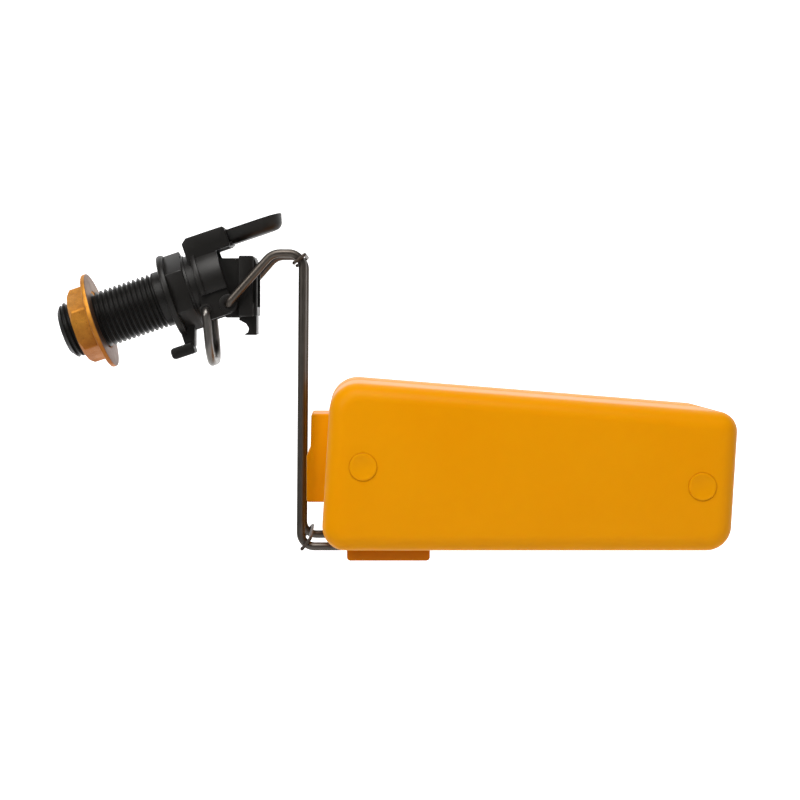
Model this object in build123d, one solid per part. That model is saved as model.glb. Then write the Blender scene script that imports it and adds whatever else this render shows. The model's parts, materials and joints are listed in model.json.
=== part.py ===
from build123d import *
import os
from math import cos, radians, sin, sqrt, tan

# Float valve for a drinking trough or tank, in millimetres.
# The inlet shank runs along X, with +X towards the outlet and the float. +Z is up.
# The origin is on the shank's axis, at the face that seats on the tank wall.
# The arm is modelled at its lower stop, with the valve open.

# Inlet shank, G 1/2 thread
THREAD_DIAMETER = 20.955
THREAD_PITCH = 1.8143
THREAD_DEPTH = 1.162
THREAD_FLANK_ANGLE = 27.5
SHANK_LENGTH = 40.8
NECK_LENGTH = 3.2
LEAD_CHAMFER = 1.3
INLET_DIAMETER = 12.5

# Valve body
HEX_ACROSS_FLATS = 26.0
HEX_LENGTH = 6.3
HEX_CHAMFER = 0.7
HEX_CHAMFER_SLOPE = 1.15
BARREL_DIAMETER = 24.8
BARREL_END_X = 15.8
BARREL_CHAMFER = 0.6
THROAT_DIAMETER = 5.8
BAIL_HOLE_SPARE = 0.4
SOCKET_DEPTH = 5.8
OUTLET_RECESS_DEPTH = 3.0
OUTLET_RECESS_WIDTH = 3.2
OUTLET_RECESS_WALL = 2.0

# Seat flange and the foot that hangs from it
FLANGE_DIAMETER = 31.4
FLANGE_THICKNESS = 2.4
FLANGE_ROUNDING = 0.8
FOOT_DROP = 22.9
FOOT_BAR_HEIGHT = 4.3
FOOT_BAR_OVERHANG = 5.8
FOOT_BAR_TO_X = 3.0
FOOT_BAR_ROUNDING = 1.3
FOOT_WIDTH = 9.0
FOOT_WEB_WIDTH = 7.4
FOOT_WEB_TOP_LENGTH = 5.8
FOOT_WEB_END_LENGTH = 3.3

# Backnut
NUT_ACROSS_FLATS = 25.0
NUT_FLANGE_DIAMETER = 36.2
NUT_FLANGE_THICKNESS = 1.7
NUT_FLANGE_ROUNDING = 0.6
NUT_HEX_LENGTH = 7.4
NUT_HEX_CHAMFER = 1.4
NUT_BORE_CHAMFER = 1.6
NUT_BORE_CHAMFER_DEPTH = 0.6
NUT_TURN = 8.0
NUT_FACE_X = -26.6

# Seat nozzle and its ring
NOZZLE_DIAMETER = 7.8
NOZZLE_BORE = 3.8
NOZZLE_HEAD_DIAMETER = 9.0
NOZZLE_HEAD_LENGTH = 2.4
NOZZLE_TIP_X = 20.0
NOZZLE_CHAMFER = 0.3
NOZZLE_LIP_DIAMETER = 5.6
NOZZLE_LIP_CHAMFER = 0.4
RING_CORD = 1.5
RING_X = 13.0
RING_GROOVE_DEPTH = 1.2
RING_SIDE_PLAY = 0.05
RING_SEAT_GAP = 0.01

# Arm wire, in the arm's own directions: p along the float, q across it, from the pivot
WIRE_DIAMETER = 3.0
LEG_SPACING = 29.0
PIVOT_X = 20.9
PIVOT_Z = -9.75
ARM_DROOP = 18.65
KNEE_P = 16.1
TOP_Q = 18.2
TOP_CORNER_P = 27.2
BOTTOM_CORNER_P = 26.4
RUN_Q = -88.1
RUN_END_P = 144.2
END_BEND = 2.0
KNEE_BEND = 6.5
CORNER_BEND = 5.0
PIVOT_END_REACH = 9.0

# Cross ties
TIE_DIAMETER = 1.2
TIE_BEND = 0.8
TIE_END = 0.6
TIE_INSIDE_GAP = 0.6
TIE_OUTSIDE_GAP = 0.2
UPPER_TIE_ANGLE = 38.0
LOWER_TIE_ANGLE = 232.0

# Retaining bail
BAIL_X = 12.4
BAIL_Z = -9.7
BAIL_LENGTH = 18.9
BAIL_LEAN = 13.0
BAIL_END_REACH = 8.0
BAIL_BEND = 8.0

# Arm bracket
BRACKET_FROM_X = 12.5
BRACKET_TO_X = 22.4
BRACKET_WALL = 1.35
RIB_WIDTH = 1.9
RIB_HEIGHT = 0.9
CHEEK_INNER = 9.0
CHEEK_LOBE = 3.4
CHEEK_FOOT_Z = -13.4
CHEEK_BEVEL = 1.0
CHEEK_SHOULDER = 2.0
BOSS_PROUD = 0.3
BAND_FOOT_Z = -4.0
BOX_TOP_Z = 18.0
BOX_HALF_WIDTH = 9.6
BOX_TO_X = 28.0
BOX_FLOOR_Z = 10.4
BOX_OVERHANG = 1.2
BOX_BACK_BEVEL_X = 1.9
BOX_BACK_BEVEL_Z = 1.5
BOX_FRONT_BEVEL_X = 0.6
BOX_FRONT_BEVEL_Z = 1.0

# Thumb tab
TAB_TIP_X = 49.5
TAB_TOP_Z = 16.4
TAB_FOOT_Z = 10.8
TAB_TOP_HALF_WIDTH = 8.0
TAB_FOOT_HALF_WIDTH = 5.4
TAB_FOOT_TIP_X = 47.0
TAB_WALL = 1.5
TAB_ROOT_LENGTH = 3.0
TAB_TENON = 6.0
TAB_TENON_SIDE = 1.0
TAB_TENON_SHOULDER = 0.8

# Rocker, in the arm's directions
EAR_INNER = 5.0
EAR_RADIUS = 3.3
EAR_HEEL_P = -2.0
EAR_FOOT_Q = -5.2
BLOCK_FROM_P = 3.7
BLOCK_TO_P = 9.0
BLOCK_LIP_P = 10.3
BLOCK_TOP_Q = 17.5
BLOCK_FOOT_Q = -4.7
BLOCK_HALF_WIDTH = 11.8
BLOCK_WALL = 1.8
BLOCK_TOP_BEVEL = 3.4
POCKET_FOOT = 3.4
POCKET_TOP = 3.8
HOOK_TIP_Q = -11.6
HOOK_HALF_WIDTH = 6.5

# Pad carrier: a hood over the nozzle, open below, with a stem through the rocker's wall
HOOD_FROM_P = -4.6
HOOD_TOP_Q = 16.7
HOOD_WALL = 1.7
HOOD_SIDE_GAP = 4.5
STEM_SIZE = 6.0
STEM_LENGTH = 3.4

# Valve pad
PAD_DIAMETER = 9.6
PAD_THICKNESS = 2.2
PAD_SEAT_GAP = 0.3

# Float, in the arm's directions: the end face towards the arm and the end face away from it
FLOAT_HALF_WIDTH = 31.0
FLOAT_WALL = 2.0
FLOAT_EDGE_ROUNDING = 6.0
FLOAT_FLOOR_Q = -87.9
FLOAT_HEAD_FLOOR_P = 33.9
FLOAT_HEAD_TOP_P = 37.5
FLOAT_HEAD_TOP_Q = -27.5
FLOAT_TAIL_TOP_P = 182.3
FLOAT_TAIL_TOP_Q = -39.0
FLOAT_TAIL_FLOOR_P = 179.2
FLOAT_HEAD_TOP_ROUND = 10.5
FLOAT_HEAD_FLOOR_ROUND = 8.5
FLOAT_TAIL_TOP_ROUND = 7.0
FLOAT_TAIL_FLOOR_ROUND = 9.0
FLOAT_TAB_HALF_WIDTH = 10.0
FLOAT_TAB_TOP_Q = -40.4
FLOAT_TAB_STEP_Q = -54.4
FLOAT_TAB_FOOT_Q = -72.7
FLOAT_TAB_TOP_P = 30.1
FLOAT_TAB_FOOT_P = 28.4
FLOAT_TAB_DRAFT = 0.3
FLOAT_TAB_SLOPE = 1.2

# Float plugs and clip
PLUG_DIAMETER = 9.8
PLUG_PROUD = 0.35
PLUG_HEAD_P = 48.9
PLUG_HEAD_Q = -57.6
PLUG_TAIL_P = 168.2
PLUG_TAIL_Q = -64.5
CLIP_FROM_P = 43.2
CLIP_TO_P = 73.1
CLIP_DEPTH = 4.8
CLIP_HALF_WIDTH = 18.5
CLIP_BEVEL = 0.7

# Clearances
RUNNING_CLEARANCE = 0.06
SEATED_CLEARANCE = 0.02
SIDE_CLEARANCE = 0.3
LEG_CLEARANCE = 0.4

# How far a feature is sunk into the solid that it joins
JOIN = 1.0

# Side of a cutting block, larger than the whole valve
CUTTER = 400.0

THREAD_RADIUS = THREAD_DIAMETER / 2
WIRE_RADIUS = WIRE_DIAMETER / 2
LEG_W = LEG_SPACING / 2
HEX_FROM_X = FLANGE_THICKNESS
HEX_TO_X = HEX_FROM_X + HEX_LENGTH
BARREL_RADIUS = BARREL_DIAMETER / 2
BRACKET_INNER = BARREL_RADIUS + 0.1
BRACKET_OUTER = BRACKET_INNER + BRACKET_WALL
HOOD_HALF_WIDTH = BRACKET_INNER - HOOD_SIDE_GAP
CHEEK_OUTER = LEG_W - WIRE_RADIUS - LEG_CLEARANCE - BOSS_PROUD
TIE_INSIDE = CORNER_BEND - WIRE_RADIUS - TIE_DIAMETER / 2 - TIE_INSIDE_GAP
TIE_OUTSIDE = CORNER_BEND + WIRE_RADIUS + TIE_DIAMETER / 2 + TIE_OUTSIDE_GAP
AXIS_Q = -PIVOT_Z
PAD_FACE_P = NOZZLE_TIP_X + PAD_SEAT_GAP - PIVOT_X

# Where a cylinder or block stands on its plane, and where it hangs under it
FROM_FACE = (Align.CENTER, Align.CENTER, Align.MIN)
UNDER_FACE = (Align.CENTER, Align.CENTER, Align.MAX)

# The arm's plane has p and q as its x and y, and w, towards the near side, as its z
ARM = Plane(
    origin=(PIVOT_X, 0, PIVOT_Z),
    x_dir=(cos(radians(ARM_DROOP)), 0, -sin(radians(ARM_DROOP))),
    z_dir=(0, -1, 0),
)


def slab(plane, outline, half_width):
    """A plate of the outline's shape, the same to both sides of the plane."""
    return extrude(plane * outline, amount=half_width, both=True)


def polygon(*points):
    return make_face(Polyline(*points, close=True))


def turned(*points):
    """A solid turned about the shank's axis, from points (x, radius)."""
    return revolve(Plane.XZ * polygon(*points), axis=Axis.X)


def disc(plane, p, q, radius, from_w, to_w):
    """A round pin across the arm's plane, between two distances from it."""
    spot = plane * Pos(p, q, from_w)
    return extrude(spot * Circle(radius), amount=to_w - from_w)


def bent_wire(plane, points, bends, radius):
    """A round wire along straight runs and bends, in a plane's directions."""
    path = plane * FilletPolyline(*points, radius=bends)
    start = Plane(origin=path @ 0, z_dir=path % 0)
    return sweep(start * Circle(radius), path=path)


def mirrored_path(points):
    """A path that goes from the near side to the far side and back the same way."""
    far = [(p, q, -w) for p, q, w in reversed(points)]
    return points + far


def thread_outline():
    """Points (x, radius) of the thread's ridges, from the free end to the neck."""
    root = THREAD_RADIUS - THREAD_DEPTH
    flank = THREAD_DEPTH * tan(radians(THREAD_FLANK_ANGLE))
    flat = THREAD_PITCH / 2 - flank
    start = -SHANK_LENGTH + LEAD_CHAMFER
    turns = int((SHANK_LENGTH - NECK_LENGTH - LEAD_CHAMFER) / THREAD_PITCH)
    points = [(-SHANK_LENGTH, root - LEAD_CHAMFER / 2), (start, root)]
    for turn in range(turns):
        x = start + turn * THREAD_PITCH
        points += [
            (x + flat / 2, root),
            (x + flat / 2 + flank, THREAD_RADIUS),
            (x + flat * 1.5 + flank, THREAD_RADIUS),
            (x + flat * 1.5 + 2 * flank, root),
        ]
    return points + [(-NECK_LENGTH, root), (-NECK_LENGTH, THREAD_RADIUS)]


def make_valve_body():
    socket = NOZZLE_DIAMETER / 2 + SEATED_CLEARANCE
    socket_x = BARREL_END_X - SOCKET_DEPTH
    throat = THROAT_DIAMETER / 2
    bore = INLET_DIAMETER / 2
    body = turned(
        (-SHANK_LENGTH, bore),
        *thread_outline(),
        (0, THREAD_RADIUS),
        (0, BARREL_RADIUS),
        (BARREL_END_X - BARREL_CHAMFER, BARREL_RADIUS),
        (BARREL_END_X, BARREL_RADIUS - BARREL_CHAMFER),
        (BARREL_END_X, socket),
        (socket_x, socket),
        (socket_x, throat),
        (HEX_TO_X - 1, throat),
        (HEX_FROM_X + 2, bore),
    )
    recess_outer = BARREL_RADIUS - OUTLET_RECESS_WALL
    recess = turned(
        (BARREL_END_X - OUTLET_RECESS_DEPTH, recess_outer - OUTLET_RECESS_WIDTH),
        (BARREL_END_X + 1, recess_outer - OUTLET_RECESS_WIDTH),
        (BARREL_END_X + 1, recess_outer),
        (BARREL_END_X - OUTLET_RECESS_DEPTH, recess_outer),
    )
    hexagon = hexagon_prism(HEX_ACROSS_FLATS, HEX_FROM_X, HEX_LENGTH, HEX_CHAMFER, 0)
    hexagon -= Plane.YZ.offset(HEX_FROM_X) * Cylinder(BARREL_RADIUS - JOIN, HEX_LENGTH, align=FROM_FACE)
    body = body + make_flange() + hexagon + make_foot() - recess
    for side in (-1, 1):
        reach = LEG_W - BAIL_END_REACH - BAIL_HOLE_SPARE
        spot = Plane.XZ * Pos(BAIL_X, BAIL_Z, side * reach)
        hole = extrude(spot * Circle(WIRE_RADIUS + RUNNING_CLEARANCE), amount=side * BARREL_RADIUS)
        body -= hole
    return body


def hexagon_prism(across_flats, from_x, length, bevel, turn):
    """A hexagon along X with flats at the top and bottom, bevelled more at its free end."""
    corner = across_flats / sqrt(3)
    blank = Plane.YZ.offset(from_x) * Rot(0, 0, turn) * RegularPolygon(corner, 6)
    prism = extrude(blank, amount=length)
    rise = bevel * HEX_CHAMFER_SLOPE
    far_bevel, far_rise = bevel / 2, rise / 2
    cone = turned(
        (from_x, 0),
        (from_x, corner - bevel),
        (from_x + rise, corner),
        (from_x + length - far_rise, corner),
        (from_x + length, corner - far_bevel),
        (from_x + length, 0),
    )
    return prism & cone


def make_flange():
    """The round flange that seats on the tank wall, with a rounded rim."""
    blank = turned(
        (0, THREAD_RADIUS - THREAD_DEPTH),
        (0, FLANGE_DIAMETER / 2),
        (FLANGE_THICKNESS, FLANGE_DIAMETER / 2),
        (FLANGE_THICKNESS, THREAD_RADIUS - THREAD_DEPTH),
    )
    rims = blank.edges().filter_by(GeomType.CIRCLE)
    outer_rims = rims.filter_by(lambda edge: edge.radius > FLANGE_DIAMETER / 2 - 0.1)
    return fillet(outer_rims, FLANGE_ROUNDING)


def make_foot():
    """A web that hangs from the flange, with a bar along the shank at its end."""
    top = -HEX_ACROSS_FLATS / 2 + JOIN
    bar_top = -FOOT_DROP + FOOT_BAR_HEIGHT
    web_end = bar_top - FOOT_BAR_HEIGHT / 2
    web = polygon(
        (0, top),
        (FOOT_WEB_TOP_LENGTH, top),
        (FOOT_WEB_TOP_LENGTH, top - JOIN),
        (FOOT_WEB_END_LENGTH, web_end),
        (0, web_end),
    )
    bar_middle = (FOOT_BAR_TO_X - FOOT_BAR_OVERHANG) / 2
    bar = Pos(bar_middle, bar_top - FOOT_BAR_HEIGHT / 2) * Rectangle(
        FOOT_BAR_TO_X + FOOT_BAR_OVERHANG, FOOT_BAR_HEIGHT
    )
    bar = fillet(bar.vertices(), FOOT_BAR_ROUNDING)
    return slab(Plane.XZ, web, FOOT_WEB_WIDTH / 2) + slab(Plane.XZ, bar, FOOT_WIDTH / 2)


def make_backnut():
    face = NUT_FACE_X
    flange_back = face - NUT_FLANGE_THICKNESS
    flange = turned(
        (flange_back, 0),
        (flange_back, NUT_FLANGE_DIAMETER / 2),
        (face, NUT_FLANGE_DIAMETER / 2),
        (face, 0),
    )
    rims = flange.edges().filter_by(GeomType.CIRCLE)
    flange = fillet(rims, NUT_FLANGE_ROUNDING)
    low = flange_back - NUT_HEX_LENGTH
    hexagon = hexagon_prism(NUT_ACROSS_FLATS, low, NUT_HEX_LENGTH + JOIN, NUT_HEX_CHAMFER, NUT_TURN)
    bore = THREAD_RADIUS + RUNNING_CLEARANCE
    mouth, depth = bore + NUT_BORE_CHAMFER, NUT_BORE_CHAMFER_DEPTH
    hole = turned(
        (low - 1, 0),
        (low - 1, mouth),
        (low + depth, bore),
        (face - depth, bore),
        (face + 1, mouth),
        (face + 1, 0),
    )
    return flange + hexagon - hole


def make_seat_nozzle():
    stem = NOZZLE_DIAMETER / 2
    back = BARREL_END_X - SOCKET_DEPTH + SEATED_CLEARANCE
    head = BARREL_END_X + SEATED_CLEARANCE
    lip = NOZZLE_LIP_DIAMETER / 2
    groove = RING_CORD / 2 + RING_SIDE_PLAY
    groove_floor = stem - RING_GROOVE_DEPTH
    return turned(
        (back, NOZZLE_BORE / 2),
        (back, stem - NOZZLE_CHAMFER),
        (back + NOZZLE_CHAMFER, stem),
        (RING_X - groove, stem),
        (RING_X - groove, groove_floor),
        (RING_X + groove, groove_floor),
        (RING_X + groove, stem),
        (head, stem),
        (head, NOZZLE_HEAD_DIAMETER / 2),
        (head + NOZZLE_HEAD_LENGTH, NOZZLE_HEAD_DIAMETER / 2),
        (NOZZLE_TIP_X - NOZZLE_LIP_CHAMFER, lip),
        (NOZZLE_TIP_X, lip - NOZZLE_LIP_CHAMFER),
        (NOZZLE_TIP_X, NOZZLE_BORE / 2),
    )


def make_nozzle_o_ring():
    floor = NOZZLE_DIAMETER / 2 - RING_GROOVE_DEPTH
    space = RING_GROOVE_DEPTH + SEATED_CLEARANCE
    return Plane.YZ.offset(RING_X) * Torus(floor + space / 2, space / 2 - RING_SEAT_GAP)


def make_arm_bracket():
    start = Plane.YZ.offset(BRACKET_FROM_X)
    band = start * Cylinder(BRACKET_OUTER, BRACKET_TO_X - BRACKET_FROM_X, align=FROM_FACE)
    band += start * Cylinder(BRACKET_OUTER + RIB_HEIGHT, RIB_WIDTH, align=FROM_FACE)
    band -= Pos(0, 0, BAND_FOOT_Z) * Box(CUTTER, CUTTER, CUTTER, align=UNDER_FACE)
    back_x = BRACKET_FROM_X - BOX_OVERHANG
    box = polygon(
        (back_x, 0),
        (back_x, BOX_TOP_Z - BOX_BACK_BEVEL_Z),
        (back_x + BOX_BACK_BEVEL_X, BOX_TOP_Z),
        (BOX_TO_X - BOX_FRONT_BEVEL_X, BOX_TOP_Z),
        (BOX_TO_X, BOX_TOP_Z - BOX_FRONT_BEVEL_Z),
        (BOX_TO_X, BOX_FLOOR_Z),
        (BRACKET_TO_X, BOX_FLOOR_Z),
        (BRACKET_TO_X, 0),
    )
    cheek = polygon(
        (back_x, 0),
        (back_x, CHEEK_FOOT_Z + CHEEK_BEVEL),
        (back_x + CHEEK_BEVEL, CHEEK_FOOT_Z),
        (PIVOT_X, CHEEK_FOOT_Z),
        (PIVOT_X, 0),
    )
    lobe = Pos(PIVOT_X, PIVOT_Z) * Circle(CHEEK_LOBE)
    shoulder = polygon(
        (PIVOT_X, CHEEK_FOOT_Z + CHEEK_SHOULDER), (BRACKET_TO_X, PIVOT_Z), (BRACKET_TO_X, 0), (PIVOT_X, 0)
    )
    bracket = band + slab(Plane.XZ, box, BOX_HALF_WIDTH)
    bracket += slab(Plane.XZ, cheek + lobe + shoulder, CHEEK_OUTER)
    bracket += slab(Plane.XZ, lobe, CHEEK_OUTER + BOSS_PROUD)
    bracket -= Plane.YZ * Cylinder(BRACKET_INNER, CUTTER, align=FROM_FACE)
    bracket -= Box(CUTTER, 2 * CHEEK_INNER, CUTTER, align=UNDER_FACE)
    for x, z in ((PIVOT_X, PIVOT_Z), (BAIL_X, BAIL_Z)):
        bracket -= slab(Plane.XZ, Pos(x, z) * Circle(WIRE_RADIUS + RUNNING_CLEARANCE), LEG_W)
    return bracket - tab_tenon(SEATED_CLEARANCE)


def tab_tenon(extra):
    """The tab's tenon inside the bracket's box, larger by extra on every side."""
    length = TAB_TENON + JOIN
    width = 2 * (TAB_TOP_HALF_WIDTH - TAB_TENON_SIDE)
    height = TAB_TOP_Z - TAB_FOOT_Z - 2 * TAB_TENON_SHOULDER
    middle_z = (TAB_TOP_Z + TAB_FOOT_Z) / 2
    return Pos(BOX_TO_X + JOIN - length / 2, 0, middle_z) * Box(
        length + 2 * extra, width + 2 * extra, height + 2 * extra
    )


def rounded_tab(half_width, from_x, tip_x):
    """A strip along X with a half-round tip."""
    square = tip_x - half_width
    strip = Pos((from_x + square) / 2, 0) * Rectangle(square - from_x, 2 * half_width)
    return strip + Pos(square, 0) * Circle(half_width)


def make_thumb_tab():
    root = BOX_TO_X + SEATED_CLEARANCE
    top = Plane.XY.offset(TAB_TOP_Z) * rounded_tab(TAB_TOP_HALF_WIDTH, root, TAB_TIP_X)
    foot = Plane.XY.offset(TAB_FOOT_Z) * rounded_tab(TAB_FOOT_HALF_WIDTH, root, TAB_FOOT_TIP_X)
    tab = loft([top, foot])
    dish_x = root + TAB_ROOT_LENGTH
    dish_top = Plane.XY.offset(TAB_TOP_Z + SEATED_CLEARANCE) * rounded_tab(
        TAB_TOP_HALF_WIDTH - TAB_WALL, dish_x, TAB_TIP_X - TAB_WALL
    )
    dish_floor = Plane.XY.offset(TAB_FOOT_Z + TAB_WALL) * rounded_tab(
        TAB_FOOT_HALF_WIDTH - TAB_WALL / 2, dish_x, TAB_FOOT_TIP_X - TAB_WALL
    )
    return tab - loft([dish_top, dish_floor]) + tab_tenon(0)


def make_retaining_bail():
    lean = radians(BAIL_LEAN)
    foot_x = BAIL_X - BAIL_LENGTH * sin(lean)
    foot_z = BAIL_Z - BAIL_LENGTH * cos(lean)
    points = mirrored_path(
        [
            (BAIL_X, BAIL_Z, LEG_W - BAIL_END_REACH),
            (BAIL_X, BAIL_Z, LEG_W),
            (foot_x, foot_z, LEG_W),
        ]
    )
    return bent_wire(Plane.XZ, points, [END_BEND, BAIL_BEND, BAIL_BEND, END_BEND], WIRE_RADIUS)


def arm_points():
    return mirrored_path(
        [
            (0, 0, LEG_W - PIVOT_END_REACH),
            (0, 0, LEG_W),
            (KNEE_P, TOP_Q, LEG_W),
            (TOP_CORNER_P, TOP_Q, LEG_W),
            (BOTTOM_CORNER_P, RUN_Q, LEG_W),
            (RUN_END_P, RUN_Q, LEG_W),
        ]
    )


def arm_wire(radius):
    half = [END_BEND, KNEE_BEND, CORNER_BEND, CORNER_BEND, CORNER_BEND]
    return bent_wire(ARM, arm_points(), half + half[::-1], radius)


def cross_tie(bend_p, bend_q, toward, end_radius, run_radius):
    """A thin wire across both legs at one of their bends, and between them.

    It lies on the legs' outer faces, along a line out of the bend's centre. Its short ends stop
    at end_radius from that centre, and it crosses to the other leg at run_radius.
    """
    face_w = LEG_W + WIRE_RADIUS + TIE_DIAMETER / 2 + SEATED_CLEARANCE
    step_p, step_q = cos(radians(toward)), sin(radians(toward))
    end = (bend_p + end_radius * step_p, bend_q + end_radius * step_q)
    run = (bend_p + run_radius * step_p, bend_q + run_radius * step_q)
    points = mirrored_path([(*end, LEG_W - TIE_END), (*end, face_w), (*run, face_w)])
    return bent_wire(ARM, points, TIE_BEND, TIE_DIAMETER / 2)


def make_upper_tie():
    """At the upper corner, with its long run outside the bend."""
    bend_p, bend_q = TOP_CORNER_P - CORNER_BEND, TOP_Q - CORNER_BEND
    return cross_tie(bend_p, bend_q, UPPER_TIE_ANGLE, TIE_INSIDE, TIE_OUTSIDE)


def make_lower_tie():
    """At the lower corner, with its long run inside the bend."""
    bend_p, bend_q = BOTTOM_CORNER_P + CORNER_BEND, RUN_Q + CORNER_BEND
    return cross_tie(bend_p, bend_q, LOWER_TIE_ANGLE, TIE_OUTSIDE, TIE_INSIDE)


def make_rocker():
    block = polygon(
        (BLOCK_FROM_P, BLOCK_FOOT_Q),
        (BLOCK_TO_P, BLOCK_FOOT_Q),
        (BLOCK_TO_P, BLOCK_TOP_Q),
        (BLOCK_FROM_P, BLOCK_TOP_Q),
    )
    core = polygon(
        (BLOCK_FROM_P, BLOCK_FOOT_Q),
        (BLOCK_LIP_P, BLOCK_FOOT_Q),
        (BLOCK_LIP_P, BLOCK_TOP_Q - BLOCK_TOP_BEVEL),
        (BLOCK_TO_P, BLOCK_TOP_Q),
        (BLOCK_FROM_P, BLOCK_TOP_Q),
    )
    ear = Circle(EAR_RADIUS) + polygon(
        (EAR_HEEL_P, 0),
        (EAR_HEEL_P, EAR_FOOT_Q),
        (BLOCK_FROM_P + JOIN, EAR_FOOT_Q),
        (BLOCK_FROM_P + JOIN, EAR_RADIUS),
        (0, EAR_RADIUS),
    )
    rocker = slab(ARM, block, BLOCK_HALF_WIDTH) + slab(ARM, core, BLOCK_HALF_WIDTH - BLOCK_WALL)
    rocker += slab(ARM, hook_outline(), HOOK_HALF_WIDTH)
    for side in (-1, 1):
        outer = CHEEK_INNER - SIDE_CLEARANCE
        rocker += extrude(ARM * Pos(0, 0, side * EAR_INNER) * ear, amount=side * (outer - EAR_INNER))
    pocket = polygon(
        (BLOCK_FROM_P + BLOCK_WALL, BLOCK_FOOT_Q + POCKET_FOOT),
        (BLOCK_LIP_P + JOIN, BLOCK_FOOT_Q + POCKET_FOOT),
        (BLOCK_LIP_P + JOIN, BLOCK_TOP_Q - POCKET_TOP),
        (BLOCK_FROM_P + BLOCK_WALL, BLOCK_TOP_Q - BLOCK_WALL),
    )
    rocker -= slab(ARM, pocket, BLOCK_HALF_WIDTH - 2 * BLOCK_WALL)
    rocker -= carrier_stem(SEATED_CLEARANCE)
    return rocker - slab(ARM, Circle(WIRE_RADIUS + SEATED_CLEARANCE), LEG_W)


def hook_outline():
    """A hook below the block, open towards the shank."""
    return polygon(
        (BLOCK_FROM_P, BLOCK_FOOT_Q),
        (BLOCK_FROM_P - 0.3, BLOCK_FOOT_Q - 1.3),
        (BLOCK_FROM_P + 2.3, BLOCK_FOOT_Q - 2.7),
        (BLOCK_FROM_P + 3.4, BLOCK_FOOT_Q - 4.4),
        (BLOCK_FROM_P + 3.0, HOOK_TIP_Q + 1.0),
        (BLOCK_FROM_P + 1.8, HOOK_TIP_Q + 0.4),
        (BLOCK_FROM_P + 2.1, HOOK_TIP_Q),
        (BLOCK_LIP_P - 0.4, HOOK_TIP_Q),
        (BLOCK_LIP_P - 0.4, BLOCK_FOOT_Q + JOIN),
        (BLOCK_FROM_P, BLOCK_FOOT_Q + JOIN),
    )


def carrier_stem(extra):
    """The square stem that holds the pad carrier in the rocker's wall."""
    size = STEM_SIZE + 2 * extra
    middle_p = BLOCK_FROM_P + STEM_LENGTH / 2
    return ARM * Pos(middle_p, AXIS_Q) * Box(STEM_LENGTH + JOIN, size, size)


def make_pad_carrier():
    back_p = BLOCK_FROM_P - SEATED_CLEARANCE
    foot_q = CHEEK_LOBE + SIDE_CLEARANCE
    hood = polygon((HOOD_FROM_P, foot_q), (back_p, foot_q), (back_p, HOOD_TOP_Q), (HOOD_FROM_P, HOOD_TOP_Q))
    wall_p = PAD_FACE_P + PAD_THICKNESS / 2
    space = polygon(
        (HOOD_FROM_P - JOIN, foot_q - JOIN),
        (wall_p, foot_q - JOIN),
        (wall_p, HOOD_TOP_Q - HOOD_WALL),
        (HOOD_FROM_P - JOIN, HOOD_TOP_Q - HOOD_WALL),
    )
    carrier = slab(ARM, hood, HOOD_HALF_WIDTH) - slab(ARM, space, HOOD_HALF_WIDTH - HOOD_WALL)
    carrier += carrier_stem(0)
    seat = pad_slug(PAD_FACE_P, PAD_FACE_P + PAD_THICKNESS + SEATED_CLEARANCE, SEATED_CLEARANCE)
    return carrier - seat


def pad_slug(from_p, to_p, extra):
    """A round slug the size of the pad, square to the nozzle when the valve is closed."""
    face = Plane(ARM.from_local_coords((from_p, AXIS_Q, 0)), z_dir=ARM.x_dir)
    return extrude(face * Circle(PAD_DIAMETER / 2 + extra), amount=to_p - from_p)


def make_valve_pad():
    return pad_slug(PAD_FACE_P, PAD_FACE_P + PAD_THICKNESS, 0)


def float_outline(inset):
    """The float's side view, with all four corners round, shrunk by an inset."""
    corners = [
        (FLOAT_HEAD_FLOOR_P, FLOAT_FLOOR_Q, FLOAT_HEAD_FLOOR_ROUND),
        (FLOAT_TAIL_FLOOR_P, FLOAT_FLOOR_Q, FLOAT_TAIL_FLOOR_ROUND),
        (FLOAT_TAIL_TOP_P, FLOAT_TAIL_TOP_Q, FLOAT_TAIL_TOP_ROUND),
        (FLOAT_HEAD_TOP_P, FLOAT_HEAD_TOP_Q, FLOAT_HEAD_TOP_ROUND),
    ]
    path = FilletPolyline(*[(p, q) for p, q, _ in corners], radius=[r for _, _, r in corners], close=True)
    face = make_face(path)
    if inset:
        face = offset(face, amount=-inset)
    return face


def float_solid(inset, edge):
    block = slab(ARM, float_outline(inset), FLOAT_HALF_WIDTH - inset)
    sides = block.faces().filter_by(Axis.Y)
    return fillet(sides.edges(), edge)


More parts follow.
